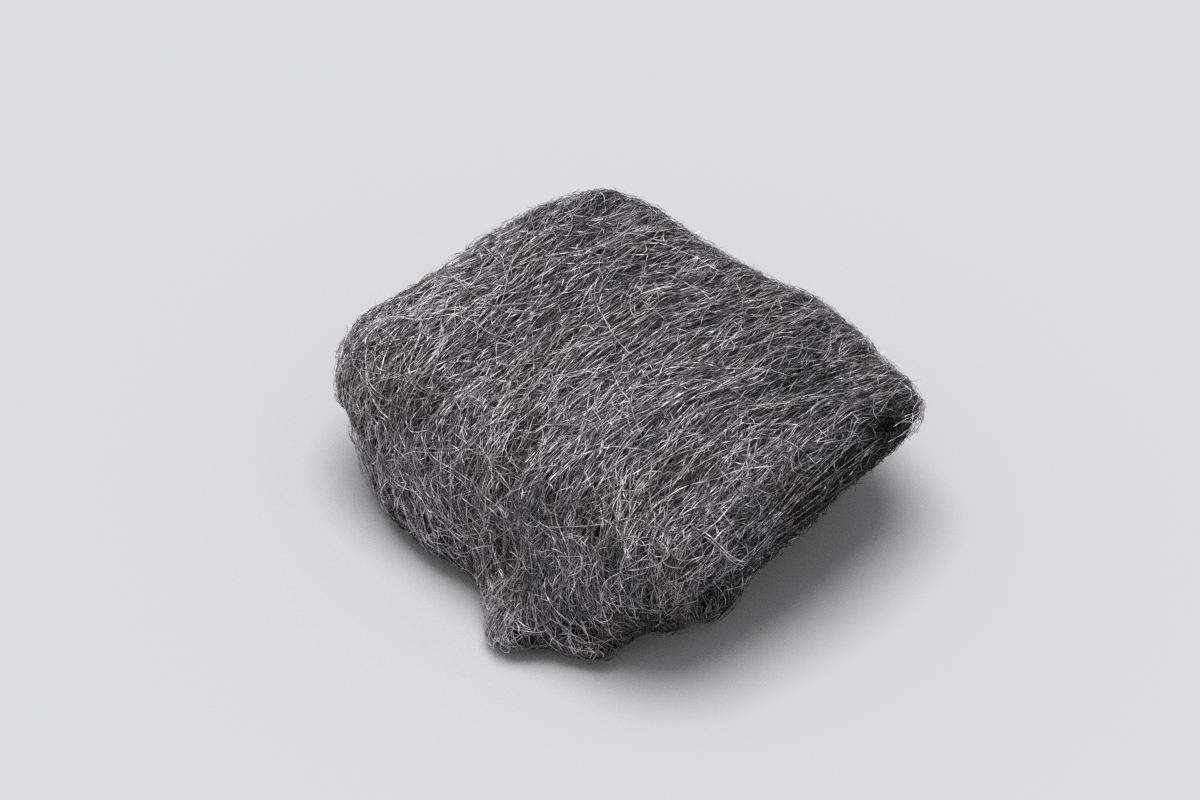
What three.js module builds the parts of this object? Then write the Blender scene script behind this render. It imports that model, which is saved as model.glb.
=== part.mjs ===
// A hand pad of steel wool. One ribbon of long steel strands is folded over on itself at the back, and its
// upper ply is tucked down over the front. The strands run along Y, the ribbon's width lies along X, and the
// pad rests on the flat of its lower ply. Millimetres, Z up, origin on the bench under the middle of the pad.
import * as THREE from "three";

// The pad as it lies on the bench, from the tuck in front to the fold at the back
const PAD_LENGTH = 92;

// The ribbon: as wide as a hand in the upper ply, drawn in a little where it lies underneath
const UPPER_WIDTH = 104;
const LOWER_WIDTH = 93;
const UPPER_PLY = 16;
const LOWER_PLY = 15;
const CREASE_GAP = 0.6;

// The fold at the back, pinched round a small hollow that shows at its ends
const FOLD_HOLLOW_RADIUS = 2.2;
const FOLD_PINCH_LENGTH = 16;

// The tuck in front: the upper ply turns down past the end of the lower one into an apron. The radius inside
// the turn, the angle turned through in degrees, and the height of the apron's foot above the bench
const TUCK_INNER_RADIUS = 2;
const APRON_ANGLE = 88;
const APRON_FOOT_HEIGHT = 0.4;

// The tuft at the foot of the apron, kicked outwards towards the bench
const FLARE = 16.5;
const FLARE_CENTRE = 21;
const FLARE_SPREAD_LEFT = 19;
const FLARE_SPREAD_RIGHT = 35;
const FLARE_HEIGHT = 21;
const FLARE_DEPTH = 23;

// How far the apron's foot is drawn in under its right corner, and where that starts
const RIGHT_TUCK = 4;
const RIGHT_TUCK_STARTS = 28;

// How far the apron's left corner has slipped in under the top of the pad, where that starts, and the heights
// between which it steps in
const LEFT_TUCK = 3.5;
const LEFT_TUCK_STARTS = 25;
const LEFT_TUCK_BOTTOM = 14;
const LEFT_TUCK_TOP = 21;

// The dent in the apron above the tuft, where the strands are pressed in
const DENT = 3;
const DENT_CENTRE = 18;
const DENT_SPREAD = 11;
const DENT_HEIGHT = 14;
const DENT_HEIGHT_SPREAD = 13;

// The rounding of the ribbon's long edges and of its two ends, the share of the thickness left at the rim, and
// the radius of its four corners
const SIDE_ROUNDING = 10;
const END_ROUNDING = 7;
const RIM_SHARE = 0.16;
const CORNER_RADIUS = 10;

// Seen from above, how far each corner is drawn in sideways, and how far the front and back fall away there
const FRONT_LEFT_DRAW_IN = 13.5;
const FRONT_RIGHT_DRAW_IN = 11;
const BACK_LEFT_DRAW_IN = 8.3;
const BACK_RIGHT_DRAW_IN = 15.6;
const CORNER_FALL_BACK = 2.3;
const CORNER_POWER = 4;

// The wool is packed thinner towards the right of the back, so the underside rises there and the top sinks
const BACK_RIGHT_RISE = 15;
const FRONT_RIGHT_RISE = 3;
const RISE_STARTS = -2;
const RISE_FRONT_END = -23.8;
const RISE_BACK_END = 8;
const BACK_RIGHT_SINK = 4;

// The loftier corner at the left of the back
const LOFT = 3;
const LOFT_INSET = 4.5;
const LOFT_SPREAD = 46;

// How finely the ribbon is divided
const RIM_STEPS = 5;
const LOWER_STEPS = 16;
const FOLD_STEPS = 14;
const UPPER_STEPS = 16;
const TUCK_STEPS = 8;
const WIDTH_STEPS = 26;

const halfLength = PAD_LENGTH / 2;
const halfWidth = UPPER_WIDTH / 2;
const padHeight = LOWER_PLY + CREASE_GAP + UPPER_PLY;
const lowerLevel = LOWER_PLY / 2;
const upperLevel = padHeight - UPPER_PLY / 2;
const foldRadius = (upperLevel - lowerLevel) / 2;
const foldThickness = 2 * (foldRadius - FOLD_HOLLOW_RADIUS);
const foldCentreY = halfLength - foldRadius - foldThickness / 2;
const tuckRadius = UPPER_PLY / 2 + TUCK_INNER_RADIUS;

const mix = THREE.MathUtils.lerp;
const ease = (value, from, to) => THREE.MathUtils.smoothstep(value, from, to);
const bump = (value, at, spread) => 1 - ease(Math.abs(value - at), 0, spread);
const evenly = (from, to, steps) => Array.from({ length: steps }, (_, step) => mix(from, to, step / steps));

// The share of a ply's full thickness at a distance from one of its borders, as a quarter of an ellipse
function edgeShare(distance, rounding) {
  if (distance >= rounding) return 1;
  const inwards = 1 - distance / rounding;
  return Math.max(RIM_SHARE, Math.sqrt(1 - inwards * inwards));
}

// The share of the ribbon's width that its corners leave at a distance from its nearer end
function cornerShare(distance) {
  const inwards = Math.max(CORNER_RADIUS - distance, 0);
  return 1 - (CORNER_RADIUS - Math.sqrt(CORNER_RADIUS ** 2 - inwards ** 2)) / halfWidth;
}

// Distances from a border across its rounding, close together where the thickness changes fastest
function rimDistances(rounding) {
  const first = Math.asin(RIM_SHARE);
  return evenly(first, Math.PI / 2, RIM_STEPS).map((angle) => rounding * (Math.cos(first) - Math.cos(angle)));
}

// The middle line of the ribbon, as the lengths of its four stretches and the place and turn at any distance
// along it: lower ply, fold, upper ply, and tuck with the apron that hangs from it
function middleLine() {
  const angle = THREE.MathUtils.degToRad(APRON_ANGLE);
  const bentHeight = upperLevel - tuckRadius * (1 - Math.cos(angle));
  const drop = (bentHeight - APRON_FOOT_HEIGHT) / Math.sin(angle);
  const tuckCentreY = -halfLength + (tuckRadius + UPPER_PLY / 2) * Math.sin(angle);

  const lowerEndY = -halfLength + UPPER_PLY + CREASE_GAP + TUCK_INNER_RADIUS;
  const lowerLength = foldCentreY - lowerEndY;
  const foldLength = Math.PI * foldRadius;
  const upperLength = foldCentreY - tuckCentreY;
  const bendLength = angle * tuckRadius;

  function at(distance) {
    let left = distance;
    if (left < lowerLength) return { y: lowerEndY + left, z: lowerLevel, turn: 0 };
    left -= lowerLength;
    if (left < foldLength) {
      const turn = left / foldRadius;
      const y = foldCentreY + foldRadius * Math.sin(turn);
      return { y, z: lowerLevel + foldRadius * (1 - Math.cos(turn)), turn };
    }
    left -= foldLength;
    if (left < upperLength) return { y: foldCentreY - left, z: upperLevel, turn: Math.PI };
    left -= upperLength;
    const bend = Math.min(left / tuckRadius, angle);
    const straight = Math.max(left - bendLength, 0);
    return {
      y: tuckCentreY - tuckRadius * Math.sin(bend) - straight * Math.cos(bend),
      z: upperLevel - tuckRadius * (1 - Math.cos(bend)) - straight * Math.sin(bend),
      turn: Math.PI + bend,
    };
  }

  return { at, lowerLength, foldLength, upperLength, tuckLength: bendLength + drop };
}

// Stations along the middle line: the place, the outward normal, half of the ribbon's thickness and the share
// of the upper ply's width that it has there
function stations() {
  const line = middleLine();
  const foldStart = line.lowerLength;
  const foldEnd = foldStart + line.foldLength;
  const tuckStart = foldEnd + line.upperLength;
  const end = tuckStart + line.tuckLength;
  const distances = [
    ...rimDistances(END_ROUNDING),
    ...evenly(END_ROUNDING, foldStart, LOWER_STEPS),
    ...evenly(foldStart, foldEnd, FOLD_STEPS),
    ...evenly(foldEnd, tuckStart, UPPER_STEPS),
    ...evenly(tuckStart, end - END_ROUNDING, TUCK_STEPS),
    end - END_ROUNDING,
    ...rimDistances(END_ROUNDING).reverse().map((distance) => end - distance),
  ];
  return distances.map((distance) => {
    const { y, z, turn } = line.at(distance);
    const fromFold = Math.max(foldStart - distance, distance - foldEnd, 0);
    const ply = distance < (foldStart + foldEnd) / 2 ? LOWER_PLY : UPPER_PLY;
    const thickness = mix(foldThickness, ply, ease(fromFold, 0, FOLD_PINCH_LENGTH));
    const share = edgeShare(distance, END_ROUNDING) * edgeShare(end - distance, END_ROUNDING);
    const plyWidth = mix(LOWER_WIDTH / UPPER_WIDTH, 1, ease(distance, foldStart, foldEnd));
    return {
      y,
      z,
      outY: Math.sin(turn),
      outZ: -Math.cos(turn),
      half: (thickness * share) / 2,
      widthShare: plyWidth * cornerShare(Math.min(distance, end - distance)),
    };
  });
}

// How the packed wool settles: the corners drawn in, the underside risen and the top sunk at the right of the
// back, the left of the back loftier, the foot of the apron kicked outwards, the dent above it and the apron's
// two corners tucked in
function settle(point) {
  const across = point.x / halfWidth;
  const along = point.y / halfLength;
  const height = point.z / padHeight;
  const right = ease(point.x, RISE_STARTS, halfWidth);
  const back = ease(point.y, RISE_FRONT_END, RISE_BACK_END);
  const rise = mix(FRONT_RIGHT_RISE, BACK_RIGHT_RISE, back) * right;
  const sink = BACK_RIGHT_SINK * right * ease(point.y, 0, halfLength);
  const loftAcross = bump(point.x, LOFT_INSET - halfWidth, LOFT_SPREAD);
  const loftAlong = bump(point.y, halfLength - LOFT_INSET, LOFT_SPREAD);
  const loft = LOFT * loftAcross * loftAlong;

  const low = 1 - Math.min(point.z / FLARE_HEIGHT, 1);
  const inFront = ease(-point.y, halfLength - FLARE_DEPTH, halfLength);
  const flareSpread = point.x < FLARE_CENTRE ? FLARE_SPREAD_LEFT : FLARE_SPREAD_RIGHT;
  const flare = FLARE * bump(point.x, FLARE_CENTRE, flareSpread) * low * low * inFront;
  const rightTuck = RIGHT_TUCK * ease(point.x, RIGHT_TUCK_STARTS, halfWidth) * low * inFront;
  const underStep = 1 - ease(point.z, LEFT_TUCK_BOTTOM, LEFT_TUCK_TOP);
  const leftTuck = LEFT_TUCK * ease(-point.x, LEFT_TUCK_STARTS, halfWidth) * underStep * inFront;
  const dentAcross = bump(point.x, DENT_CENTRE, DENT_SPREAD);
  const dent = DENT * dentAcross * bump(point.z, DENT_HEIGHT, DENT_HEIGHT_SPREAD) * inFront;

  const left = ease(point.x, halfWidth, -halfWidth);
  const frontDrawIn = mix(FRONT_RIGHT_DRAW_IN, FRONT_LEFT_DRAW_IN, left);
  const backDrawIn = mix(BACK_RIGHT_DRAW_IN, BACK_LEFT_DRAW_IN, left);
  point.x -= (along < 0 ? frontDrawIn : backDrawIn) * across * along ** CORNER_POWER + rightTuck - leftTuck;
  point.y -= CORNER_FALL_BACK * along * across ** CORNER_POWER + flare - dent - rightTuck - leftTuck;
  point.z += rise * (1 - height) + (loft - sink) * height;
  return point;
}

// The ribbon as one closed body: an outer and an inner surface joined along the four borders
function ribbonGeometry() {
  const rim = rimDistances(SIDE_ROUNDING).map((distance) => distance - halfWidth);
  const rimEnd = halfWidth - SIDE_ROUNDING;
  const columns = [
    ...rim,
    ...evenly(-rimEnd, rimEnd, WIDTH_STEPS),
    rimEnd,
    ...rim.map((across) => -across).reverse(),
  ];
  const positions = [];
  const outer = [];
  const inner = [];
  const place = (across, station, share, side) => {
    const reach = side * station.half * share;
    const point = new THREE.Vector3(
      across * station.widthShare,
      station.y + reach * station.outY,
      station.z + reach * station.outZ,
    );
    positions.push(...settle(point).toArray());
    return positions.length / 3 - 1;
  };
  const row = stations();
  for (const across of columns) {
    const share = edgeShare(halfWidth - Math.abs(across), SIDE_ROUNDING);
    outer.push(row.map((station) => place(across, station, share, 1)));
    inner.push(row.map((station) => place(across, station, share, -1)));
  }

  const index = [];
  const quad = (a, b, c, d) => index.push(a, b, c, a, c, d);
  const lastColumn = columns.length - 1;
  const lastRow = outer[0].length - 1;
  for (let column = 0; column < lastColumn; column++) {
    const next = column + 1;
    for (let row = 0; row < lastRow; row++) {
      quad(outer[column][row], outer[column][row + 1], outer[next][row + 1], outer[next][row]);
      quad(inner[column][row], inner[next][row], inner[next][row + 1], inner[column][row + 1]);
    }
    quad(outer[column][0], outer[next][0], inner[next][0], inner[column][0]);
    quad(outer[next][lastRow], outer[column][lastRow], inner[column][lastRow], inner[next][lastRow]);
  }
  for (let row = 0; row < lastRow; row++) {
    quad(outer[0][row + 1], outer[0][row], inner[0][row], inner[0][row + 1]);
    const lastOuter = outer[lastColumn];
    const lastInner = inner[lastColumn];
    quad(lastOuter[row], lastOuter[row + 1], lastInner[row + 1], lastInner[row]);
  }
  const geometry = new THREE.BufferGeometry();
  geometry.setAttribute("position", new THREE.Float32BufferAttribute(positions, 3));
  geometry.setIndex(index);
  geometry.computeVertexNormals();
  geometry.computeBoundingBox();
  return geometry;
}

const steelWool = new THREE.MeshStandardMaterial({ color: 0x6f6d70, roughness: 0.45, metalness: 0.85 });

const woolPad = new THREE.Mesh(ribbonGeometry(), steelWool);
woolPad.name = "wool_pad";
const middle = woolPad.geometry.boundingBox.getCenter(new THREE.Vector3());
woolPad.position.set(-middle.x, -middle.y, 0);

const pad = new THREE.Group();
pad.add(woolPad);

export default pad;
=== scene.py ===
import math

import bpy
import numpy as np
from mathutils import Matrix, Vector, noise
from mathutils.bvhtree import BVHTree


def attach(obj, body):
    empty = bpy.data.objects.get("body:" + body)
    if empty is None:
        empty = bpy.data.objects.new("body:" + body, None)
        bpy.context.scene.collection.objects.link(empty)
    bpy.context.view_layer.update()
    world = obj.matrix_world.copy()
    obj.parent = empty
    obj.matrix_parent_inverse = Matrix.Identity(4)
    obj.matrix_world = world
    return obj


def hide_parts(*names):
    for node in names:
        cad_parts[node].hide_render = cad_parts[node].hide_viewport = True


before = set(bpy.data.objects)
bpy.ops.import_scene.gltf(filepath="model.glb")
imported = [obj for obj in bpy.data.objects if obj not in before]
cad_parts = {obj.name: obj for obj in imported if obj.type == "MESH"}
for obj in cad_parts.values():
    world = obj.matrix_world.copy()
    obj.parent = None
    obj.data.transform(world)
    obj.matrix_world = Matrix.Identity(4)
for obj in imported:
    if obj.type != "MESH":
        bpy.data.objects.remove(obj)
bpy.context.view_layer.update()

# The camera looks down on the front right-hand corner of the pad.
# A long lens from well back keeps the folded block's edges near parallel.
CAMERA_AZIMUTH = math.radians(45)
CAMERA_ELEVATION = math.radians(40)
CAMERA_DISTANCE = 0.7333
CAMERA_AIM = Vector((-0.0065, 0.0027, 0.0175))
CAMERA_LENS_MM = 110
CAMERA_SENSOR_MM = 36
away_from_pad = Vector((
    math.sin(CAMERA_AZIMUTH) * math.cos(CAMERA_ELEVATION),
    -math.cos(CAMERA_AZIMUTH) * math.cos(CAMERA_ELEVATION),
    math.sin(CAMERA_ELEVATION),
))
camera_data = bpy.data.cameras.new("camera")
camera_data.lens = CAMERA_LENS_MM
camera_data.sensor_width = CAMERA_SENSOR_MM
camera = bpy.data.objects.new("camera", camera_data)
camera.location = CAMERA_AIM + away_from_pad * CAMERA_DISTANCE
camera.rotation_euler = away_from_pad.to_track_quat("Z", "Y").to_euler()
bpy.context.scene.collection.objects.link(camera)
bpy.context.scene.camera = camera
bpy.context.scene.view_settings.view_transform = "Standard"
bpy.context.scene.cycles.use_denoising = False

# The bench top: a plain pale sheet, wide enough to fill every view.
# It is matt, so that only the pad's own soft shadow shows on it.
FLOOR_HALF = 3.0
FLOOR_COLOUR = (0.72, 0.72, 0.73, 1)
floor_mesh = bpy.data.meshes.new("bench_top")
floor_mesh.from_pydata(
    [(-FLOOR_HALF, -FLOOR_HALF, 0), (FLOOR_HALF, -FLOOR_HALF, 0),
     (FLOOR_HALF, FLOOR_HALF, 0), (-FLOOR_HALF, FLOOR_HALF, 0)],
    [], [(0, 1, 2, 3)])
bench_top = bpy.data.objects.new("bench_top", floor_mesh)
bpy.context.scene.collection.objects.link(bench_top)
bench_paint = bpy.data.materials.new("bench_paint")
bench_paint.use_nodes = True
bench_shader = bench_paint.node_tree.nodes["Principled BSDF"]
bench_shader.inputs["Base Color"].default_value = FLOOR_COLOUR
bench_shader.inputs["Roughness"].default_value = 1
bench_shader.inputs["Specular IOR Level"].default_value = 0
floor_mesh.materials.append(bench_paint)

# The studio light: an even pale surround, and one broad soft light from nearly straight above,
# a little behind the pad's left side, which throws the short soft shadow to the front right.
SURROUND_COLOUR = (0.98, 0.99, 1.0, 1)
SURROUND_STRENGTH = 0.36
SOFT_LIGHT_WIDTH = math.radians(42)
SOFT_LIGHT_FROM = Vector((-0.15, 0.10, 1.0))
SOFT_LIGHT_STRENGTH = 2.1
surround = bpy.data.worlds.new("studio")
surround.use_nodes = True
surround_shader = surround.node_tree.nodes["Background"]
surround_shader.inputs["Color"].default_value = SURROUND_COLOUR
surround_shader.inputs["Strength"].default_value = SURROUND_STRENGTH
surround.cycles.sampling_method = "NONE"
bpy.context.scene.world = surround
soft_light_data = bpy.data.lights.new("soft_light", "SUN")
soft_light_data.angle = SOFT_LIGHT_WIDTH
soft_light_data.energy = SOFT_LIGHT_STRENGTH
soft_light = bpy.data.objects.new("soft_light", soft_light_data)
soft_light.location = SOFT_LIGHT_FROM
soft_light.rotation_euler = SOFT_LIGHT_FROM.to_track_quat("Z", "Y").to_euler()
bpy.context.scene.collection.objects.link(soft_light)

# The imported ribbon: a flat roving of carbon steel shavings, doubled at the back and tucked down
# in front. Its strands press together into a springy felt, combed into shallow furrows, and this
# piece is that felt, a little below the pad's outer strands.
FELT_VOXEL = 0.001
FELT_SETTLE_STEPS = 2
FELT_DEPTH = 0.0012
FELT_DEPTH_UNDER = 0.0003
LUMP_HEIGHT = 0.0007
LUMP_LENGTH = 0.011
LUMP_NOISE_PLACE = 3.1
FURROW_HEIGHT = 0.0005
FURROW_WIDTH = 0.0028
FURROW_LENGTH = 0.022
TOP_FURROW_NOISE_PLACE = 7.7
SIDE_FURROW_NOISE_PLACE = 1.4
TURN_STEEPNESS = 2
SIDEWAYS_OFFSET = 0.8
UNDERNEATH_OFFSET = 0.6
LAY_SETTLE_STEPS = 90
LEAST_LENGTH = 1e-12
FLOOR_GAP = 0.00012
# Painted shade on the wool: it is darkened where it turns down, where it faces right, and along the
# right lip.
UNDER_SHARE = 0.30
UNDER_STARTS = 0.05
UNDER_FULL = -0.55
RIGHT_KEPT = 0.70
RIGHT_STARTS = 0.15
RIGHT_FULL = 0.85
LIP_KEPT = 0.22
LIP_STARTS = 0.0435
LIP_FULL = 0.0502
LIP_FRONT = -0.020
LIP_BACK = -0.002
LIP_LOW = 0.014
LIP_HIGH = 0.024
# Painted shade in the teased front's deeper gaps: its felt is darkened between the strands.
FRONT_GAPS_KEPT = 0.12
FRONT_STARTS = 0.10
FRONT_FULL = 0.60
# Hollows in the wool, and patches of painted shade and painted light on it: the middle, the reach
# along each axis, how deep it sinks there, and the share of its tone that it keeps, under 1 for
# painted shade and over 1 for painted light. The first is the hollow in the fold's right end with
# its painted shade, the second and third the dent beside the tuft, and the fourth a furrow near the
# back.
HOLLOWS_AND_PAINTED_LIGHT = (
    ((0.0465, 0.0295, 0.0280), (0.0030, 0.0085, 0.0032), 0.0012, 0.05),
    ((0.0195, -0.0430, 0.0140), (0.0035, 0.0070, 0.0090), 0.0008, 0.60),
    ((0.0135, -0.0340, 0.0266), (0.0090, 0.0080, 0.0070), 0.0005, 0.52),
    ((0.0252, 0.0270, 0.0300), (0.0022, 0.0140, 0.0060), 0.0008, 0.66),
    ((0.0340, 0.0240, 0.0300), (0.0100, 0.0170, 0.0100), 0.0, 0.74),
    ((-0.0440, -0.0060, 0.0300), (0.0130, 0.0130, 0.0100), 0.0, 1.32),
    ((-0.0215, -0.0325, 0.0290), (0.0090, 0.0070, 0.0090), 0.0, 0.60),
    ((0.0035, -0.0119, 0.0316), (0.0120, 0.0120, 0.0100), 0.0, 1.40),
    ((0.0250, -0.0470, 0.0060), (0.0120, 0.0080, 0.0070), 0.0, 1.05),
    ((0.0330, -0.0340, 0.0250), (0.0090, 0.0070, 0.0080), 0.0, 0.66),
    ((0.0120, -0.0410, 0.0150), (0.0140, 0.0080, 0.0110), 0.0, 0.80),
    ((-0.0370, -0.0160, 0.0316), (0.0090, 0.0090, 0.0060), 0.0, 1.40),
    ((0.0035, -0.0240, 0.0312), (0.0070, 0.0060, 0.0060), 0.0, 0.55),
    ((0.0180, 0.0280, 0.0302), (0.0060, 0.0060, 0.0060), 0.0, 1.25),
)
# Small pulls on the ribbon that give its outline its waves: the middle, the reach and the shift.
NUDGES = (
    ((-0.0475, -0.0270, 0.0265), 0.008, (-0.0007, -0.0002, 0.0004)),
    ((-0.0494, -0.0035, 0.0288), 0.009, (0.0006, -0.0003, 0.0)),
    ((-0.0440, 0.0380, 0.0300), 0.012, (-0.0004, 0.0005, 0.0002)),
    ((-0.0180, 0.0470, 0.0270), 0.016, (0.0003, -0.0010, 0.0)),
    ((0.0100, 0.0490, 0.0240), 0.011, (-0.0005, 0.0021, 0.0002)),
    ((0.0330, 0.0500, 0.0235), 0.008, (0.0002, -0.0026, 0.0)),
    ((0.0480, 0.0375, 0.0250), 0.006, (0.0002, 0.0002, 0.0)),
    ((0.0465, 0.0070, 0.0170), 0.008, (0.0013, -0.0002, 0.0)),
    ((0.0457, -0.0060, 0.0100), 0.006, (-0.0011, 0.0001, 0.0)),
    ((0.0410, -0.0170, 0.0040), 0.006, (0.0026, -0.0015, 0.0)),
    ((0.0410, -0.0300, 0.0045), 0.006, (-0.0028, 0.0017, 0.0)),
    ((0.0345, -0.0370, 0.0030), 0.005, (0.0017, -0.0015, 0.0)),
    ((0.0265, -0.0470, 0.0030), 0.005, (-0.0013, 0.0012, 0.0)),
    ((-0.0070, -0.0400, 0.0040), 0.012, (0.0004, -0.0013, 0.0)),
    ((0.0123, -0.0483, 0.0060), 0.005, (0.0008, 0.0018, 0.0)),
)


def points_of(mesh):
    flat = np.empty(len(mesh.vertices) * 3, np.float32)
    mesh.vertices.foreach_get("co", flat)
    return flat.reshape(-1, 3).astype(float)


def normals_of(mesh):
    flat = np.empty(len(mesh.vertices) * 3, np.float32)
    mesh.vertex_normals.foreach_get("vector", flat)
    return flat.reshape(-1, 3).astype(float)


def edges_of(mesh):
    flat = np.empty(len(mesh.edges) * 2, np.int32)
    mesh.edges.foreach_get("vertices", flat)
    return flat.reshape(-1, 2)


def neighbour_mean(values, edges):
    """Each point's values averaged over its neighbours."""
    count = len(values)
    ends = np.concatenate((edges[:, 0], edges[:, 1]))
    others = np.concatenate((edges[:, 1], edges[:, 0]))
    share = np.maximum(np.bincount(ends, minlength=count), 1)
    columns = [np.bincount(ends, values[others, c], count) / share for c in range(values.shape[1])]
    return np.stack(columns, axis=1)


def unit(vectors):
    lengths = np.linalg.norm(vectors, axis=-1, keepdims=True)
    return vectors / np.maximum(lengths, LEAST_LENGTH)


def noise_at(points, lengths, place):
    """Smooth noise from -1 to 1 at each point, after each axis is divided by its own length."""
    scaled = points / np.array(lengths) + place
    return np.array([noise.noise(Vector(p)) for p in scaled])


def smooth(low, high, values):
    """0 at low to 1 at high, with a soft start and end."""
    share = np.clip((values - low) / (high - low), 0, 1)
    return share * share * (3 - 2 * share)


def nearness(points, middle, reach):
    """1 at the middle and falling off over the reach along each axis."""
    offset = (points - np.array(middle)) / np.array(reach)
    return np.exp(-np.sum(offset ** 2, axis=1))


def painted_light_and_shade(points, ups):
    """The share of its tone that the wool keeps under painted shade where it turns down or right
    and along the right lip, and under each patch's painted shade and light."""
    share = UNDER_SHARE + (1 - UNDER_SHARE) * smooth(UNDER_FULL, UNDER_STARTS, ups[:, 2])
    share = share * (1 - (1 - RIGHT_KEPT) * smooth(RIGHT_STARTS, RIGHT_FULL, ups[:, 0]))
    lip = smooth(LIP_STARTS, LIP_FULL, points[:, 0]) * smooth(LIP_FRONT, LIP_BACK, points[:, 1])
    lip *= smooth(LIP_LOW, LIP_HIGH, points[:, 2])
    share = share * (1 - (1 - LIP_KEPT) * lip)
    for middle, reach, _, kept in HOLLOWS_AND_PAINTED_LIGHT:
        share = share * (1 - (1 - kept) * nearness(points, middle, reach))
    return share


def set_points(mesh, points):
    mesh.vertices.foreach_set("co", points.astype(np.float32).ravel())
    mesh.update()


def strand_lay(points, normals, edges):
    """The way the strands run at each point: along the ribbon, in the surface."""
    along = np.stack(
        (normals[:, 2] ** 2, -normals[:, 2] * normals[:, 1], normals[:, 1] ** 2), axis=1)
    for _ in range(LAY_SETTLE_STEPS):
        along = (along + neighbour_mean(along, edges)) / 2
    angle = np.arctan2(2 * along[:, 1], along[:, 0] - along[:, 2]) / 2
    lay = np.stack((np.zeros_like(angle), np.cos(angle), np.sin(angle)), axis=1)
    lay -= normals * np.sum(lay * normals, axis=1, keepdims=True)
    return unit(lay)


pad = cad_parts["wool_pad"]
packed_ribbon = bpy.data.objects.new("packed_ribbon", pad.data.copy())
bpy.context.scene.collection.objects.link(packed_ribbon)
weld = packed_ribbon.modifiers.new("weld", "REMESH")
weld.mode = "VOXEL"
weld.voxel_size = FELT_VOXEL
weld.use_smooth_shade = True
shown = packed_ribbon.evaluated_get(bpy.context.evaluated_depsgraph_get())
felt = bpy.data.meshes.new_from_object(shown)
packed_ribbon.modifiers.clear()
packed_ribbon.data = felt
felt.name = "packed_ribbon"

skin_edges = edges_of(felt)
skin = points_of(felt)
for _ in range(FELT_SETTLE_STEPS):
    skin = (skin + neighbour_mean(skin, skin_edges)) / 2
for middle, reach, shift in NUDGES:
    skin += nearness(skin, middle, reach)[:, None] * np.array(shift)
set_points(felt, skin)
skin_normals = normals_of(felt)
skin_lay = strand_lay(skin, skin_normals, skin_edges)
lumps = LUMP_HEIGHT * noise_at(skin, (LUMP_LENGTH,) * 3, LUMP_NOISE_PLACE)
top_lengths = (FURROW_WIDTH, FURROW_LENGTH, FURROW_LENGTH)
side_lengths = (FURROW_LENGTH, FURROW_LENGTH, FURROW_WIDTH)
sideways = np.clip(np.abs(skin_normals[:, 0]) * TURN_STEEPNESS - SIDEWAYS_OFFSET, 0, 1)
furrows = FURROW_HEIGHT * (
    (1 - sideways) * noise_at(skin, top_lengths, TOP_FURROW_NOISE_PLACE)
    + sideways * noise_at(skin, side_lengths, SIDE_FURROW_NOISE_PLACE))
underneath = np.clip(-skin_normals[:, 2] * TURN_STEEPNESS - UNDERNEATH_OFFSET, 0, 1)
relief = (lumps + furrows) * (1 - underneath)
for middle, reach, depth, _ in HOLLOWS_AND_PAINTED_LIGHT:
    relief -= depth * nearness(skin, middle, reach)
skin = skin + skin_normals * relief[:, None]
skin[:, 2] = np.maximum(skin[:, 2], FLOOR_GAP)
set_points(felt, skin)
skin_normals = normals_of(felt)
skin_faces = np.empty(len(felt.loops), np.int32)
felt.loops.foreach_get("vertex_index", skin_faces)
skin_faces = skin_faces.reshape(-1, 4)
skin_tree = BVHTree.FromPolygons(skin.tolist(), skin_faces.tolist())
felt_depth = FELT_DEPTH + (FELT_DEPTH_UNDER - FELT_DEPTH) * underneath
set_points(felt, skin - skin_normals * felt_depth[:, None])
felt.shade_smooth()


STEEL_TINT = (1.0, 0.965, 1.0)
FILM_TINT = (0.90, 0.78, 0.68, 1)
FILM_PATCHES_PER_METRE = 60
FILM_DETAIL = 3
FILM_STARTS = 0.45
FILM_FULL = 0.7
BRIGHT_ROUGHNESS = 0.46
DULL_ROUGHNESS = 0.66


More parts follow.
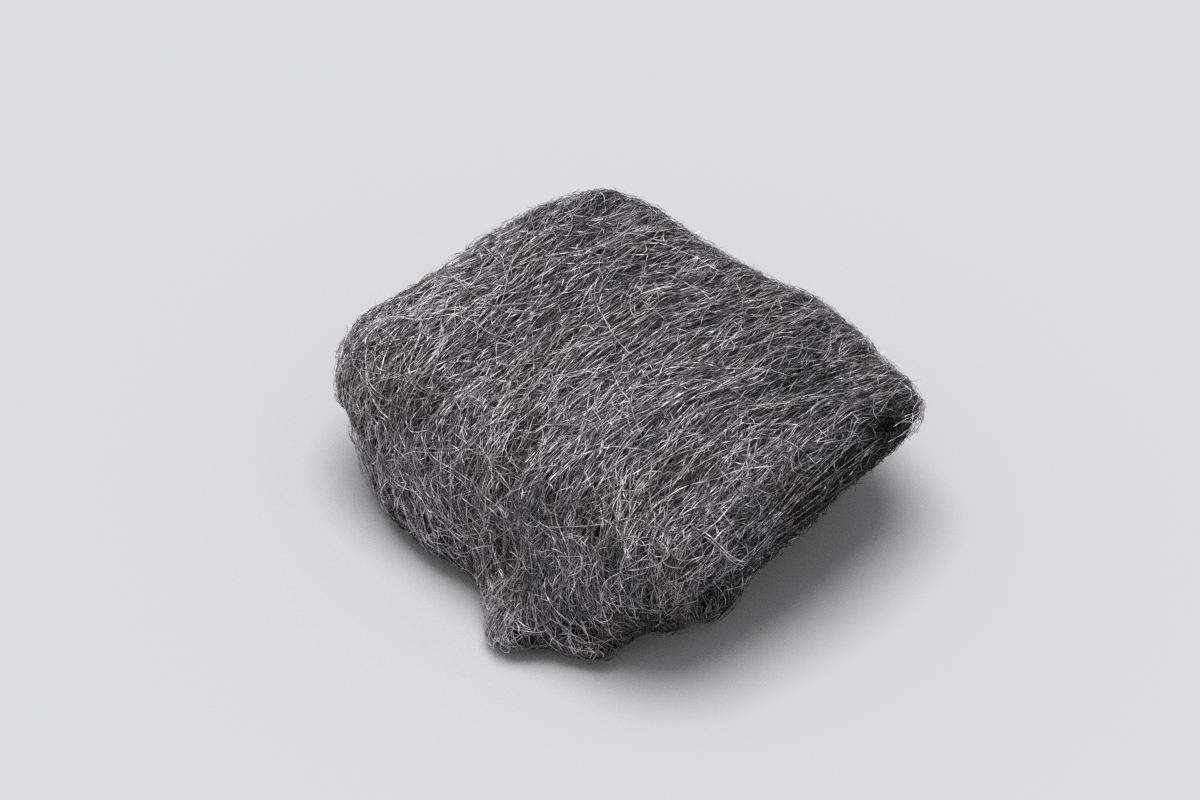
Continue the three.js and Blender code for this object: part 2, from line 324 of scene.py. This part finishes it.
def steel_group():
    """Bright steel with a thin film: the strand's own tone, dulled and browned in soft patches."""
    made = bpy.data.node_groups.new("steel_film", "ShaderNodeTree")
    made.interface.new_socket("Tone", in_out="INPUT", socket_type="NodeSocketFloat")
    made.interface.new_socket("Patches per metre", in_out="INPUT", socket_type="NodeSocketFloat")
    made.interface.new_socket("Film", in_out="INPUT", socket_type="NodeSocketFloat")
    made.interface.new_socket("Colour", in_out="OUTPUT", socket_type="NodeSocketColor")
    made.interface.new_socket("Roughness", in_out="OUTPUT", socket_type="NodeSocketFloat")
    nodes, links = made.nodes, made.links
    given = nodes.new("NodeGroupInput")
    result = nodes.new("NodeGroupOutput")
    place = nodes.new("ShaderNodeTexCoord")
    patches = nodes.new("ShaderNodeTexNoise")
    patches.inputs["Detail"].default_value = FILM_DETAIL
    links.new(place.outputs["Object"], patches.inputs["Vector"])
    links.new(given.outputs["Patches per metre"], patches.inputs["Scale"])
    spread = nodes.new("ShaderNodeMapRange")
    spread.inputs["From Min"].default_value = FILM_STARTS
    spread.inputs["From Max"].default_value = FILM_FULL
    links.new(patches.outputs["Fac"], spread.inputs["Value"])
    film = nodes.new("ShaderNodeMath")
    film.operation = "MULTIPLY"
    links.new(spread.outputs["Result"], film.inputs[0])
    links.new(given.outputs["Film"], film.inputs[1])
    grey = nodes.new("ShaderNodeVectorMath")
    grey.operation = "SCALE"
    grey.inputs[0].default_value = STEEL_TINT
    links.new(given.outputs["Tone"], grey.inputs["Scale"])
    stain = nodes.new("ShaderNodeMix")
    stain.data_type = "RGBA"
    stain.blend_type = "MULTIPLY"
    stain.inputs["B"].default_value = FILM_TINT
    links.new(film.outputs["Value"], stain.inputs["Factor"])
    links.new(grey.outputs["Vector"], stain.inputs["A"])
    links.new(stain.outputs["Result"], result.inputs["Colour"])
    dull = nodes.new("ShaderNodeMapRange")
    dull.inputs["To Min"].default_value = BRIGHT_ROUGHNESS
    dull.inputs["To Max"].default_value = DULL_ROUGHNESS
    links.new(patches.outputs["Fac"], dull.inputs["Value"])
    links.new(dull.outputs["Result"], result.inputs["Roughness"])
    return made


steel_film = steel_group()
BEND_PER_METRE = 160
BEND_DETAIL = 2
BEND_REACH = 0.0022
# Each layer of crossing lines: its turn, and its cells per metre across, along and down.
FELT_LAYERS = ((0.0, 2400, 260, 780), (0.28, 1900, 240, 720), (-0.34, 2900, 330, 990))
LINE_CORE = 0.02
LINE_EDGE = 0.17
# The black gaps are painted shade between the strands, and the lines' dim tone is painted shade of
# the felt's depth below the outer strands.
GAP_TONE = 0.006
LINE_TONE = 0.12
FELT_FILM = 0.15
RIDGE_STRENGTH = 0.8
RIDGE_HEIGHT = 0.0002


def felt_material():
    """Crossing strands pressed flat: thin bright lines over black gaps of painted shade, combed
    along the ribbon and dimmed by the painted shade in its shade attribute.
    """
    made = bpy.data.materials.new("pressed_steel_felt")
    made.use_nodes = True
    nodes, links = made.node_tree.nodes, made.node_tree.links
    shader = nodes["Principled BSDF"]
    shader.inputs["Metallic"].default_value = 1.0
    place = nodes.new("ShaderNodeTexCoord")
    warp = nodes.new("ShaderNodeTexNoise")
    warp.inputs["Scale"].default_value = BEND_PER_METRE
    warp.inputs["Detail"].default_value = BEND_DETAIL
    links.new(place.outputs["Object"], warp.inputs["Vector"])
    bend = nodes.new("ShaderNodeVectorMath")
    bend.operation = "MULTIPLY_ADD"
    bend.inputs[1].default_value = (BEND_REACH,) * 3
    links.new(warp.outputs["Color"], bend.inputs[0])
    links.new(place.outputs["Object"], bend.inputs[2])
    shade = nodes.new("ShaderNodeAttribute")
    shade.attribute_name = "shade"
    lines = []
    for turn, across, along, down in FELT_LAYERS:
        comb = nodes.new("ShaderNodeMapping")
        comb.inputs["Rotation"].default_value = (turn, turn, turn)
        comb.inputs["Scale"].default_value = (across, along, down)
        links.new(bend.outputs["Vector"], comb.inputs["Vector"])
        net = nodes.new("ShaderNodeTexVoronoi")
        net.feature = "DISTANCE_TO_EDGE"
        net.inputs["Scale"].default_value = 1
        links.new(comb.outputs["Vector"], net.inputs["Vector"])
        thin = nodes.new("ShaderNodeMapRange")
        thin.interpolation_type = "SMOOTHSTEP"
        thin.inputs["From Min"].default_value = LINE_CORE
        thin.inputs["From Max"].default_value = LINE_EDGE
        thin.inputs["To Min"].default_value = 1
        thin.inputs["To Max"].default_value = 0
        links.new(net.outputs["Distance"], thin.inputs["Value"])
        lines.append(thin.outputs["Result"])
    both = lines[0]
    for line in lines[1:]:
        most = nodes.new("ShaderNodeMath")
        most.operation = "MAXIMUM"
        links.new(both, most.inputs[0])
        links.new(line, most.inputs[1])
        both = most.outputs["Value"]
    tone = nodes.new("ShaderNodeMapRange")
    tone.inputs["To Min"].default_value = GAP_TONE
    tone.inputs["To Max"].default_value = LINE_TONE
    links.new(both, tone.inputs["Value"])
    dimmed = nodes.new("ShaderNodeMath")
    dimmed.operation = "MULTIPLY"
    links.new(tone.outputs["Result"], dimmed.inputs[0])
    links.new(shade.outputs["Fac"], dimmed.inputs[1])
    film = nodes.new("ShaderNodeGroup")
    film.node_tree = steel_film
    film.inputs["Patches per metre"].default_value = FILM_PATCHES_PER_METRE
    film.inputs["Film"].default_value = FELT_FILM
    links.new(dimmed.outputs["Value"], film.inputs["Tone"])
    links.new(film.outputs["Colour"], shader.inputs["Base Color"])
    links.new(film.outputs["Roughness"], shader.inputs["Roughness"])
    ridge = nodes.new("ShaderNodeBump")
    ridge.inputs["Strength"].default_value = RIDGE_STRENGTH
    ridge.inputs["Distance"].default_value = RIDGE_HEIGHT
    links.new(both, ridge.inputs["Height"])
    links.new(ridge.outputs["Normal"], shader.inputs["Normal"])
    return made


# The felt's shade attribute is painted shade where it turns down or right, along the lip and in the
# front's gaps, with each patch's painted shade and light.
felt_shade = felt.attributes.new("shade", "FLOAT", "POINT")
teased = smooth(FRONT_STARTS, FRONT_FULL, -skin_normals[:, 1])
felt_painted_shade = painted_light_and_shade(skin, skin_normals) * (1 - (1 - FRONT_GAPS_KEPT) * teased)
felt_shade.data.foreach_set("value", felt_painted_shade.astype(np.float32))
felt.materials.clear()
felt.materials.append(felt_material())
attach(packed_ribbon, "root")
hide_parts("wool_pad")

# The combed strands over the top and round the fold: shavings cut from wire, three-cornered in
# section and slowly twisted, which lie along the ribbon and weave over and under each other.
STRAND_HALF_WIDTH = 0.000080
TONE_LOW = 0.14
TONE_RANGE = 1.22
TONE_POWER = 2.0
FILM_RANGE = 0.3
BROWNED_PLACES = (((-0.046, -0.020, 0.028), 0.9), ((0.040, -0.031, 0.020), 0.8))
BROWNED_REACH = 0.020
# Painted shade on strands where they sink below the others: a strand keeps SUNK_SHARE of its tone
# at SUNK_DEPTH and all of it from PROUD_HEIGHT up.
SUNK_SHARE = 0.04
SUNK_DEPTH = -0.0008
PROUD_HEIGHT = 0.0002
SWIRL_LENGTH = 0.014
SWIRL_NOISE_PLACE = 5.3
WEAVE_LENGTH = 0.009
TIP_BEND_POWER = 4
LOCK_SPREAD = 0.0006
LOCK_STRAY_SPREAD = 0.06
LOCK_HEIGHT_SPREAD = 0.00012
LOCK_WEAVE_SPREAD = 0.8
STRAND_THICKNESS_SHARE = 0.6
TWIST_TURN = 0.009
COVER_LOOKS_FROM = 0.0004
SKIN_COVERED_WITHIN = 0.008
COMB_LEAN = 0.28
COMB_LEAN_FRONT = -0.022
COMB_LEAN_BACK = 0.014
FACE_SHARE_HIDDEN = 0.04
SIGN_NUDGE = 1e-9
CELL_MARGIN = 0.15
# Painted glints: noise makes each strand brighter and duller in stretches along it.
PAINTED_GLINT_PER_METRE = 500
PAINTED_GLINT_DETAIL = 2
PAINTED_GLINT_LOW = 0.45
PAINTED_GLINT_HIGH = 1.55
RANDOM_SEED = 1907
chance = np.random.default_rng(RANDOM_SEED)


def face_facts():
    """Middle, normal, area and openness of each face of the skin."""
    corners = skin[skin_faces]
    middles = corners.mean(axis=1)
    cross = np.cross(corners[:, 2] - corners[:, 0], corners[:, 3] - corners[:, 1])
    areas = np.linalg.norm(cross, axis=1) / 2
    normals = unit(cross)
    starts = middles + normals * COVER_LOOKS_FROM
    open_share = np.ones(len(areas))
    for row in range(len(areas)):
        hit = skin_tree.ray_cast(Vector(starts[row]), Vector(normals[row]), SKIN_COVERED_WITHIN)
        if hit[0] is not None:
            open_share[row] = FACE_SHARE_HIDDEN
    return middles, normals, areas, open_share


face_middles, face_normals, face_areas, face_open = face_facts()


def nearest_on_skin(places):
    """The skin's nearest point to each place, with its normal and the lay of the strands there."""
    found = np.empty((len(places), 3))
    rows = np.empty(len(places), np.int64)
    for row, place in enumerate(places.tolist()):
        near, _, face, _ = skin_tree.find_nearest(place)
        found[row] = near
        rows[row] = face
    ring = skin_faces[rows]
    normal = unit(skin_normals[ring].mean(axis=1))
    lay = skin_lay[ring]
    same_way = np.sum(lay * lay[:, :1], axis=2)
    lay = lay * np.sign(same_way + SIGN_NUDGE)[:, :, None]
    return found, normal, unit(lay.mean(axis=1))


def scatter(count, weights):
    """Random places on the skin, where weights gives each face's share per area."""
    share = face_areas * face_open * weights
    faces = chance.choice(len(share), size=count, p=share / share.sum())
    corners = skin[skin_faces[faces]]
    a, b = chance.random((2, count, 1))
    return (corners[:, 0] * (1 - a) * (1 - b) + corners[:, 1] * a * (1 - b)
            + corners[:, 2] * a * b + corners[:, 3] * (1 - a) * b)


def lay_strands(roots, joints, habit):
    """Walks each strand over the skin from its root, by its own habit.
    stray is the angle off the lay, wave the angle that it swings through every wave_length, curl
    its change of angle per metre and swirl how far it follows the slow swirls in the wool. height
    and weave give its rise above the skin, and tips the rise at its two ends."""
    lines = np.empty((len(roots), joints, 3))
    ups = np.empty((len(roots), joints, 3))
    pitch = habit["pitch"]
    place = roots
    last = None
    angle = habit["stray"].copy()
    for k in range(joints):
        near, normal, lay = nearest_on_skin(place)
        if last is None:
            lay = lay * habit["sense"][:, None]
        else:
            same_way = np.sum(lay * last, axis=1, keepdims=True)
            lay = lay * np.sign(same_way + SIGN_NUDGE)
        last = lay
        turn = angle + habit["wave"] * np.sin(
            pitch * k / habit["wave_length"] * 2 * math.pi + habit["wave_phase"])
        turn += habit["swirl"] * noise_at(near, (SWIRL_LENGTH,) * 3, SWIRL_NOISE_PLACE)
        turn += COMB_LEAN * smooth(COMB_LEAN_BACK, COMB_LEAN_FRONT, near[:, 1])
        aside = np.cross(normal, lay)
        step = lay * np.cos(turn)[:, None] + aside * np.sin(turn)[:, None]
        lines[:, k] = near
        ups[:, k] = normal
        place = near + step * pitch[:, None]
        angle = angle + habit["curl"] * pitch
    share = np.linspace(0, 1, joints)[None, :]
    length = (pitch * (joints - 1))[:, None]
    swing = np.sin(share * length / WEAVE_LENGTH * 2 * math.pi + habit["weave_phase"][:, None])
    ends = np.abs(share * 2 - 1) ** TIP_BEND_POWER
    rise = habit["height"][:, None] + habit["weave"][:, None] * swing
    rise = rise * (1 - ends) + habit["tips"][:, None] * ends
    lines += ups * rise[:, :, None]
    lines[:, :, 2] = np.maximum(lines[:, :, 2], FLOOR_GAP)
    return lines, ups, rise


def strand_shapes(lines, ups, width):
    """Points of closed three-cornered strands: a tip, rings of three, and a tip."""
    count, joints = lines.shape[:2]
    ahead = unit(np.gradient(lines, axis=1))
    aside = unit(np.cross(ups, ahead))
    over = np.cross(ahead, aside)
    steps = np.linalg.norm(np.diff(lines, axis=1, prepend=lines[:, :1]), axis=2)
    first_turn = chance.random(count)[:, None] * 2 * math.pi
    twist_way = chance.choice((-1, 1), count)[:, None]
    twist = first_turn + np.cumsum(steps, axis=1) / TWIST_TURN * 2 * math.pi * twist_way
    flat = aside * np.cos(twist)[:, :, None] + over * np.sin(twist)[:, :, None]
    thick = over * np.cos(twist)[:, :, None] - aside * np.sin(twist)[:, :, None]
    half = width[:, None, None]
    thin = half * STRAND_THICKNESS_SHARE
    rings = np.stack((
        lines + flat * half - thick * thin / 2,
        lines - flat * half - thick * thin / 2,
        lines + thick * thin,
    ), axis=2)[:, 1:-1]
    points = np.concatenate((lines[:, :1], rings.reshape(count, -1, 3), lines[:, -1:]), axis=1)
    points[:, :, 2] = np.maximum(points[:, :, 2], FLOOR_GAP / 2)
    return points


def strand_piece(name, bundles):
    """One piece from bundles of strands, each a tuple of lines, ups, widths, tones and films."""
    points, tones, films = [], [], []
    corner_rows, corner_counts, map_rows = [], [], []
    first_point = 0
    first_strand = 0
    total = sum(len(bundle[0]) for bundle in bundles)
    cells = math.ceil(math.sqrt(total))
    for lines, ups, width, tone, film in bundles:
        count, joints = lines.shape[:2]
        shape = strand_shapes(lines, ups, width)
        per_strand = shape.shape[1]
        rings = joints - 2
        points.append(shape.reshape(-1, 3))
        films.append(np.repeat(film, per_strand))
        ring_tones = np.repeat(tone[:, 1:-1], 3, axis=1)
        tones.append(np.concatenate((tone[:, :1], ring_tones, tone[:, -1:]), axis=1).ravel())
        faces, places = [], []
        ring_u = (np.arange(joints) / (joints - 1)).tolist()
        for side in range(3):
            after = (side + 1) % 3
            low, high = side / 3, (side + 1) / 3
            faces.append((0, 1 + after, 1 + side))
            places.append(((ring_u[0], (low + high) / 2), (ring_u[1], high), (ring_u[1], low)))
            for ring in range(rings - 1):
                base = 1 + ring * 3
                faces.append((base + side, base + after, base + 3 + after, base + 3 + side))
                places.append(((ring_u[ring + 1], low), (ring_u[ring + 1], high),
                               (ring_u[ring + 2], high), (ring_u[ring + 2], low)))
            base = 1 + (rings - 1) * 3
            faces.append((base + side, base + after, per_strand - 1))
            places.append(((ring_u[-2], low), (ring_u[-2], high), (ring_u[-1], (low + high) / 2)))
        corners = np.array([c for face in faces for c in face])
        places = np.array([p for face in places for p in face])
        starts = first_point + np.arange(count)[:, None] * per_strand
        corner_rows.append((starts + corners[None, :]).ravel())
        corner_counts.append(np.tile([len(face) for face in faces], count))
        strands = first_strand + np.arange(count)
        cell = np.stack((strands % cells, strands // cells), axis=1)[:, None, :]
        inside = CELL_MARGIN + (1 - 2 * CELL_MARGIN) * places[None]
        map_rows.append(((cell + inside) / cells).reshape(-1, 2))
        first_point += count * per_strand
        first_strand += count
    points = np.concatenate(points)
    corners = np.concatenate(corner_rows)
    counts = np.concatenate(corner_counts)
    mesh = bpy.data.meshes.new(name)
    mesh.vertices.add(len(points))
    mesh.vertices.foreach_set("co", points.astype(np.float32).ravel())
    mesh.loops.add(len(corners))
    mesh.loops.foreach_set("vertex_index", corners.astype(np.int32))
    mesh.polygons.add(len(counts))
    loop_starts = np.concatenate(([0], np.cumsum(counts)[:-1]))
    mesh.polygons.foreach_set("loop_start", loop_starts.astype(np.int32))
    mesh.update(calc_edges=True)
    for layer_name, values in (("tone", tones), ("film", films)):
        layer = mesh.attributes.new(layer_name, "FLOAT", "POINT")
        layer.data.foreach_set("value", np.concatenate(values).astype(np.float32))
    unwrap = mesh.uv_layers.new(name="OFBake")
    unwrap.data.foreach_set("uv", np.concatenate(map_rows).astype(np.float32).ravel())
    mesh.materials.append(strand_steel)
    mesh.shade_flat()
    piece = bpy.data.objects.new(name, mesh)
    bpy.context.scene.collection.objects.link(piece)
    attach(piece, "root")
    return piece


def strand_material():
    """Bare steel: each shaving has its own tone times its painted shade, with painted glints as
    brighter and duller stretches along it.
    """
    made = bpy.data.materials.new("bright_steel_strand")
    made.use_nodes = True
    nodes, links = made.node_tree.nodes, made.node_tree.links
    shader = nodes["Principled BSDF"]
    shader.inputs["Metallic"].default_value = 1.0
    # The tone attribute holds each shaving's own tone times its painted shade.
    own = nodes.new("ShaderNodeAttribute")
    own.attribute_name = "tone"
    place = nodes.new("ShaderNodeTexCoord")
    painted_glints = nodes.new("ShaderNodeTexNoise")
    painted_glints.inputs["Scale"].default_value = PAINTED_GLINT_PER_METRE
    painted_glints.inputs["Detail"].default_value = PAINTED_GLINT_DETAIL
    links.new(place.outputs["Object"], painted_glints.inputs["Vector"])
    vary = nodes.new("ShaderNodeMapRange")
    vary.inputs["To Min"].default_value = PAINTED_GLINT_LOW
    vary.inputs["To Max"].default_value = PAINTED_GLINT_HIGH
    links.new(painted_glints.outputs["Fac"], vary.inputs["Value"])
    tone = nodes.new("ShaderNodeMath")
    tone.operation = "MULTIPLY"
    tone.use_clamp = True
    links.new(own.outputs["Fac"], tone.inputs[0])
    links.new(vary.outputs["Result"], tone.inputs[1])
    film = nodes.new("ShaderNodeGroup")
    film.node_tree = steel_film
    film.inputs["Patches per metre"].default_value = FILM_PATCHES_PER_METRE
    browned = nodes.new("ShaderNodeAttribute")
    browned.attribute_name = "film"
    links.new(browned.outputs["Fac"], film.inputs["Film"])
    links.new(tone.outputs["Value"], film.inputs["Tone"])
    links.new(film.outputs["Colour"], shader.inputs["Base Color"])
    links.new(film.outputs["Roughness"], shader.inputs["Roughness"])
    return made


strand_steel = strand_material()


def between(low, high, count):
    """Even random values from low to high."""
    return low + (high - low) * chance.random(count)


def lock_bundle(count, where, joints, lock, **ranges):
    """Strands in locks: each lock's strands start side by side and share their habit. ranges gives
    the lowest and highest value of each habit, or its usual spread about nothing."""
    locks = math.ceil(count / lock)
    roots = np.repeat(scatter(locks, where), lock, axis=0)
    roots = roots + chance.normal(0, LOCK_SPREAD, roots.shape) * (lock > 1)
    habit = {name: between(*ranges[name], locks) for name in
             ("pitch", "wave", "wave_length", "height", "weave", "tips")}
    habit["stray"] = chance.normal(0, ranges["stray"], locks)
    habit["curl"] = chance.normal(0, ranges["curl"], locks)
    habit["sense"] = chance.choice((-1.0, 1.0), locks)
    habit["wave_phase"] = chance.random(locks) * 2 * math.pi
    habit["weave_phase"] = chance.random(locks) * 2 * math.pi
    habit = {name: np.repeat(value, lock) for name, value in habit.items()}
    total = len(roots)
    habit["swirl"] = np.full(total, ranges["swirl"])
    habit["stray"] += chance.normal(0, LOCK_STRAY_SPREAD, total)
    habit["height"] += chance.normal(0, LOCK_HEIGHT_SPREAD, total)
    habit["weave_phase"] += chance.normal(0, LOCK_WEAVE_SPREAD, total)
    lines, ups, rise = lay_strands(roots, joints, habit)
    widths = STRAND_HALF_WIDTH * between(*ranges["width"], total)
    tones = TONE_LOW + TONE_RANGE * chance.random(total) ** TONE_POWER
    # Painted shade: a strand's tone darkens where it sinks, turns down or right and runs along the
    # right lip, and takes each patch's painted shade and light.
    shaded = SUNK_SHARE + (1 - SUNK_SHARE) * smooth(SUNK_DEPTH, PROUD_HEIGHT, rise)
    films = FILM_RANGE * chance.random(total)
    for middle, amount in BROWNED_PLACES:
        far = np.linalg.norm(roots - np.array(middle), axis=1)
        films += amount * (1 - smooth(0, BROWNED_REACH, far)) * chance.random(total)
    kept = painted_light_and_shade(lines.reshape(-1, 3), ups.reshape(-1, 3)).reshape(rise.shape)
    shaded = shaded * kept
    return lines, ups, widths, tones[:, None] * shaded, films


# Where they start: over the top, and somewhat fewer round the fold at the back. The slopes are the
# upright or backward share of a face's normal at which the strands begin and are all there.
TOP_SLOPES = (0.1, 0.6)
FOLD_SLOPES = (0.3, 0.8)
FOLD_SHARE = 0.7
on_top = smooth(*TOP_SLOPES, face_normals[:, 2])
on_top = on_top + FOLD_SHARE * smooth(*FOLD_SLOPES, face_normals[:, 1])
combed_strands = strand_piece("combed_strands", [
    lock_bundle(2200, on_top, 10, 2, pitch=(0.0026, 0.0038), stray=0.12, wave=(0.05, 0.25),
                wave_length=(0.012, 0.030), curl=8, swirl=0.3, height=(-0.0007, 0.0004),
                weave=(0.0, 0.0003), tips=(-0.0010, -0.0002), width=(0.7, 1.3)),
    lock_bundle(2900, on_top, 7, 1, pitch=(0.0014, 0.0024), stray=0.24, wave=(0.1, 0.35),
                wave_length=(0.008, 0.020), curl=25, swirl=0.3, height=(-0.0006, 0.0004),
                weave=(0.0001, 0.0004), tips=(-0.0010, 0.0002), width=(0.7, 1.3)),
])

# The finer shavings that lie over the comb: shorter and wavier, each bridging a few of the long
# strands below it. A few of them spill over onto the tucked front.
SPILL_SHARE = 0.12
FRONT_SLOPES = (0.15, 0.6)
UNDERCUT_SLOPES = (0.6, 0.9)
on_front = smooth(*FRONT_SLOPES, -face_normals[:, 1])
on_front = on_front * (1 - smooth(*UNDERCUT_SLOPES, -face_normals[:, 2]))
fine_strands = strand_piece("fine_strands", [
    lock_bundle(3400, on_top + SPILL_SHARE * on_front, 9, 1, pitch=(0.0012, 0.0020), stray=0.24,
                wave=(0.1, 0.4), wave_length=(0.009, 0.018), curl=50, swirl=0.3,
                height=(-0.0007, 0.0003), weave=(0.0001, 0.0003), tips=(-0.0008, 0.0003),
                width=(0.6, 1.0)),
])

# The strands of the tucked front: the ribbon's cut end, teased out and curled, hanging down to
# the bench. They cross in all directions and some spring out in small loops.
front_strands = strand_piece("front_strands", [
    lock_bundle(1700, on_front, 13, 2, pitch=(0.0012, 0.0020), stray=0.32, wave=(0.1, 0.5),
                wave_length=(0.010, 0.020), curl=60, swirl=0.5, height=(-0.0012, 0.0006),
                weave=(0.0, 0.0004), tips=(-0.0010, 0.0004), width=(0.7, 1.2)),
    lock_bundle(1500, on_front, 10, 1, pitch=(0.0009, 0.0015), stray=0.7, wave=(0.1, 0.6),
                wave_length=(0.008, 0.016), curl=150, swirl=0.5, height=(-0.0012, 0.0007),
                weave=(0.0, 0.0004), tips=(-0.0010, 0.0008), width=(0.7, 1.2)),
])

# The strands of the sides, where the ribbon's long edges show edge on in the two plies, and of the
# underside, which the pad rests on. They run along the ribbon too, held only by their tangle.
LOCKS_UNDER_SHARE = 0.25
SINGLES_UNDER_SHARE = 0.2
SIDE_SLOPES = (0.4, 0.8)
UNDERSIDE_SLOPES = (0.5, 0.9)
on_sides = smooth(*SIDE_SLOPES, np.abs(face_normals[:, 0]))
on_underside = smooth(*UNDERSIDE_SLOPES, -face_normals[:, 2])
side_strands = strand_piece("side_strands", [
    lock_bundle(1800, on_sides + LOCKS_UNDER_SHARE * on_underside, 12, 3,
                pitch=(0.0020, 0.0032), stray=0.25,
                wave=(0.05, 0.3), wave_length=(0.012, 0.030), curl=25, swirl=0.4,
                height=(-0.0005, 0.0002), weave=(0.0001, 0.0004), tips=(-0.0011, 0.0002),
                width=(0.7, 1.3)),
    lock_bundle(1700, on_sides + SINGLES_UNDER_SHARE * on_underside, 9, 1,
                pitch=(0.0012, 0.0020), stray=0.6,
                wave=(0.1, 0.4), wave_length=(0.010, 0.020), curl=70, swirl=0.4,
                height=(-0.0004, 0.0004), weave=(0.0001, 0.0004), tips=(-0.0010, 0.0006),
                width=(0.7, 1.2)),
])

# Loose strands all over: strays that cross the comb, the long ones that lie across the front and
# along the right lip, and the short broken shavings that stand off the surface as a fuzz.
DRAWN_JOINTS = 14
DRAWN_TONE_LOW = 0.7
DRAWN_TONE_RANGE = 0.6
DRAWN_WIDTH = (0.8, 1.2)
LEAST_RISE = 0.5
ARCH_POWER = 0.5
# The long strands that catch the eye. Each row is how many, how far apart, their rise, tone and
# film, and the places they pass: three that spring out at the front right corner, three round the
# tuft, the long comb over the front, the lip's own, and thin ones at the left, tuft, left foot
# and right tip.
DRAWN_STRANDS = (
    (3, 0.0006, 0.0012, 1.10, 0.1,
     ((0.0450, -0.0222, 0.0306), (0.0491, -0.0207, 0.0285), (0.0507, -0.0194, 0.0262),
      (0.0512, -0.0160, 0.0225))),
    (3, 0.0008, 0.0015, 0.60, 0.1,
     ((0.0190, -0.0440, 0.0120), (0.0190, -0.0500, 0.0050), (0.0240, -0.0520, 0.0020))),
    (16, 0.0042, 0.0003, 0.70, 0.1,
     ((0.0110, -0.0420, 0.0260), (0.0140, -0.0350, 0.0310), (0.0100, -0.0150, 0.0320))),
    (13, 0.0014, 0.0004, 0.55, 1.2,
     ((0.0508, -0.0138, 0.0273), (0.0504, 0.0030, 0.0290), (0.0490, 0.0220, 0.0288))),
    (3, 0.0010, 0.0018, 0.50, 0.1,
     ((-0.0400, -0.0340, 0.0240), (-0.0420, -0.0360, 0.0180), (-0.0410, -0.0350, 0.0120))),
    (30, 0.0028, 0.0015, 0.65, 0.2,
     ((0.0150, -0.0450, 0.0120), (0.0125, -0.0480, 0.0060), (0.0120, -0.0500, 0.0010))),
    (14, 0.0022, 0.0024, 0.50, 0.1,
     ((-0.0330, -0.0380, 0.0200), (-0.0340, -0.0385, 0.0120), (-0.0300, -0.0390, 0.0050))),
    (14, 0.0020, 0.0016, 0.55, 0.1,
     ((0.0500, 0.0300, 0.0270), (0.0515, 0.0360, 0.0260), (0.0490, 0.0440, 0.0255))),
)


def drawn_bundle():
    """The strands of DRAWN_STRANDS, each drawn through its row's places on the skin."""
    share = np.linspace(0, 1, DRAWN_JOINTS)
    all_lines, all_ups, tones, films = [], [], [], []
    for count, spread, height, tone, film, places in DRAWN_STRANDS:
        stops = np.linspace(0, 1, len(places))
        columns = [np.interp(share, stops, column) for column in np.array(places).T]
        path = np.stack(columns, axis=1)
        path[1:-1] = (path[:-2] + 2 * path[1:-1] + path[2:]) / 4
        for _ in range(count):
            start, end = chance.normal(0, spread, (2, 3))
            bow = chance.normal(0, spread, 3)
            route = path + start * (1 - share[:, None]) + end * share[:, None]
            route = route + bow * np.sin(share * math.pi)[:, None]
            near, normal, _ = nearest_on_skin(route)
            rise = height * (LEAST_RISE + (1 - LEAST_RISE) * chance.random())
            arch = rise * np.sin(share * math.pi) ** ARCH_POWER
            all_lines.append(near + normal * arch[:, None])
            all_ups.append(normal)
            tones.append(tone * (DRAWN_TONE_LOW + DRAWN_TONE_RANGE * chance.random()))
            films.append(film * chance.random())
    lines = np.array(all_lines)
    lines[:, :, 2] = np.maximum(lines[:, :, 2], FLOOR_GAP)
    widths = STRAND_HALF_WIDTH * between(*DRAWN_WIDTH, len(lines))
    tones = np.repeat(np.array(tones)[:, None], DRAWN_JOINTS, axis=1)
    return lines, np.array(all_ups), widths, tones, np.array(films)


# The strays start everywhere, fewer on top, and the fuzz on the rounded edges clear of the bench.
STRAYS_ON_TOP = 0.5
STRAYS_ELSEWHERE = 0.05
FUZZ_FROM_HEIGHT = 0.004
everywhere = STRAYS_ON_TOP * on_top + on_front + on_sides + STRAYS_ELSEWHERE
slope = np.abs(face_normals[:, 2])
on_edges = 4 * slope * (1 - slope) * (face_middles[:, 2] > FUZZ_FROM_HEIGHT)
loose_strands = strand_piece("loose_strands", [
    drawn_bundle(),
    lock_bundle(450, everywhere, 20, 1, pitch=(0.0012, 0.0022), stray=0.30, wave=(0.1, 0.4),
                wave_length=(0.012, 0.030), curl=40, swirl=0.3, height=(0.0001, 0.0006),
                weave=(0.0, 0.0002), tips=(-0.0006, 0.0010), width=(0.7, 1.1)),
    lock_bundle(1200, everywhere, 10, 1, pitch=(0.0005, 0.0009), stray=0.7, wave=(0.1, 0.6),
                wave_length=(0.005, 0.010), curl=180, swirl=0.3, height=(0.0, 0.0012),
                weave=(0.0001, 0.0003), tips=(-0.0006, 0.0015), width=(0.5, 0.9)),
    lock_bundle(1600, on_edges, 9, 1, pitch=(0.0005, 0.0010), stray=0.9, wave=(0.1, 0.6),
                wave_length=(0.006, 0.012), curl=150, swirl=0.3, height=(0.0000, 0.0009),
                weave=(0.0001, 0.0003), tips=(-0.0004, 0.0022), width=(0.4, 0.8)),
])
